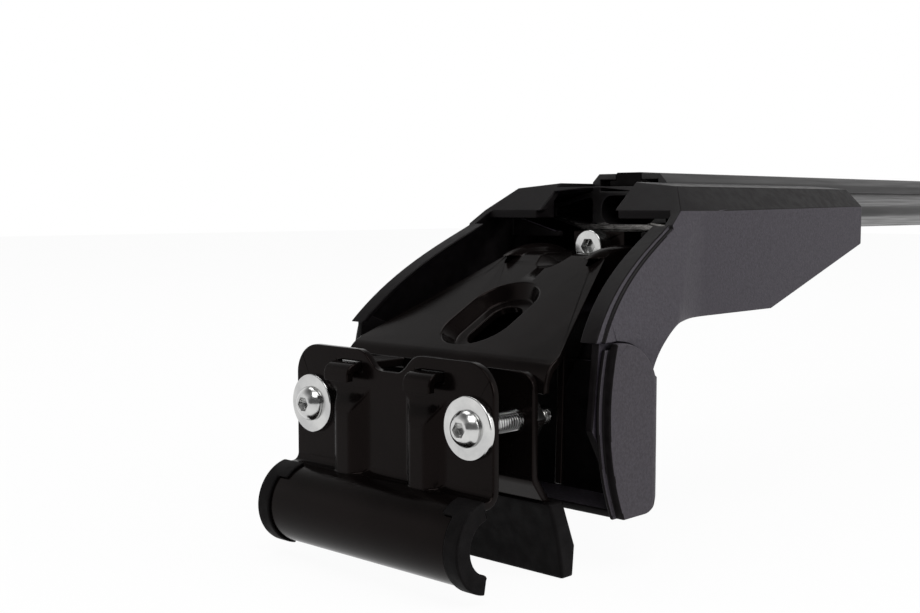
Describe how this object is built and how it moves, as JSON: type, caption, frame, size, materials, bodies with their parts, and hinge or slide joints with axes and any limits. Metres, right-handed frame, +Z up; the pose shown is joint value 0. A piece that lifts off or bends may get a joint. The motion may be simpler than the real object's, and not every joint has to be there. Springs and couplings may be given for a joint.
{
  "type": "roof rack crossbar",
  "caption": "Roof rack crossbar: aerofoil aluminium bar on clamp feet with black steel jaws, rubber pads and flared housings, end covers off.",
  "frame": {"origin": "bottom centre of the bounding box, on the plane that the rubber pads stand on", "axes": "X along the bar, Y across it along the vehicle, Z up"},
  "size_m": [1.0076, 0.1092, 0.1188],
  "materials": {
    "black_steel": "semi-gloss",
    "rubber": "matte",
    "zinc": "bright zinc",
    "bar_alloy": "satin",
    "housing_plastic": "fine grain",
    "skirt_plastic": "fine grain"
  },
  "bodies": {
    "frame": {"crossbar": "bar_alloy", "top_strip": "rubber", "left_inner_jaw": "black_steel", "left_inner_jaw_pad": "rubber", "left_clamp_nuts": "zinc", "left_mounting_bracket": "black_steel", "left_bar_clamp_screw": "zinc", "left_bar_clamp_block": "black_steel", "left_foot_housing": "housing_plastic", "left_foot_skirt": "skirt_plastic", "right_inner_jaw": "black_steel", "right_inner_jaw_pad": "rubber", "right_clamp_nuts": "zinc", "right_mounting_bracket": "black_steel", "right_bar_clamp_screw": "zinc", "right_bar_clamp_block": "black_steel", "right_foot_housing": "housing_plastic", "right_foot_skirt": "skirt_plastic"},
    "left_jaw": {"left_outer_jaw": "black_steel", "left_outer_jaw_liner": "rubber", "left_clamp_washer_front": "zinc", "left_clamp_washer_rear": "zinc"},
    "left_screw_front": {"left_clamp_screw_front": "zinc"},
    "left_screw_rear": {"left_clamp_screw_rear": "zinc"},
    "right_jaw": {"right_outer_jaw": "black_steel", "right_outer_jaw_liner": "rubber", "right_clamp_washer_front": "zinc", "right_clamp_washer_rear": "zinc"},
    "right_screw_front": {"right_clamp_screw_front": "zinc"},
    "right_screw_rear": {"right_clamp_screw_rear": "zinc"}
  },
  "joints": [
    {"name": "left_jaw_slide", "type": "slide", "parent": "frame", "child": "left_jaw", "axis": [1, 0, 0], "range_m": [-0.0015, 0.012]},
    {"name": "left_screw_front_turn", "type": "hinge", "parent": "left_jaw", "child": "left_screw_front", "pos_m": [-0.49, -0.033, 0.0464], "axis": [1, 0, 0], "range_deg": [-541, 4321]},
    {"name": "left_screw_rear_turn", "type": "hinge", "parent": "left_jaw", "child": "left_screw_rear", "pos_m": [-0.49, 0.033, 0.0464], "axis": [1, 0, 0], "range_deg": [-541, 4321]},
    {"name": "right_jaw_slide", "type": "slide", "parent": "frame", "child": "right_jaw", "axis": [-1, 0, 0], "range_m": [-0.0015, 0.012]},
    {"name": "right_screw_front_turn", "type": "hinge", "parent": "right_jaw", "child": "right_screw_front", "pos_m": [0.49, -0.033, 0.0464], "axis": [-1, 0, 0], "range_deg": [-541, 4321]},
    {"name": "right_screw_rear_turn", "type": "hinge", "parent": "right_jaw", "child": "right_screw_rear", "pos_m": [0.49, 0.033, 0.0464], "axis": [-1, 0, 0], "range_deg": [-541, 4321]}
  ],
  "couplings": [
    {"joint": "left_screw_front_turn", "follows": "left_jaw_slide", "rad_per_m": 6283.2},
    {"joint": "left_screw_rear_turn", "follows": "left_jaw_slide", "rad_per_m": 6283.2},
    {"joint": "right_screw_front_turn", "follows": "right_jaw_slide", "rad_per_m": 6283.2},
    {"joint": "right_screw_rear_turn", "follows": "right_jaw_slide", "rad_per_m": 6283.2}
  ]
}
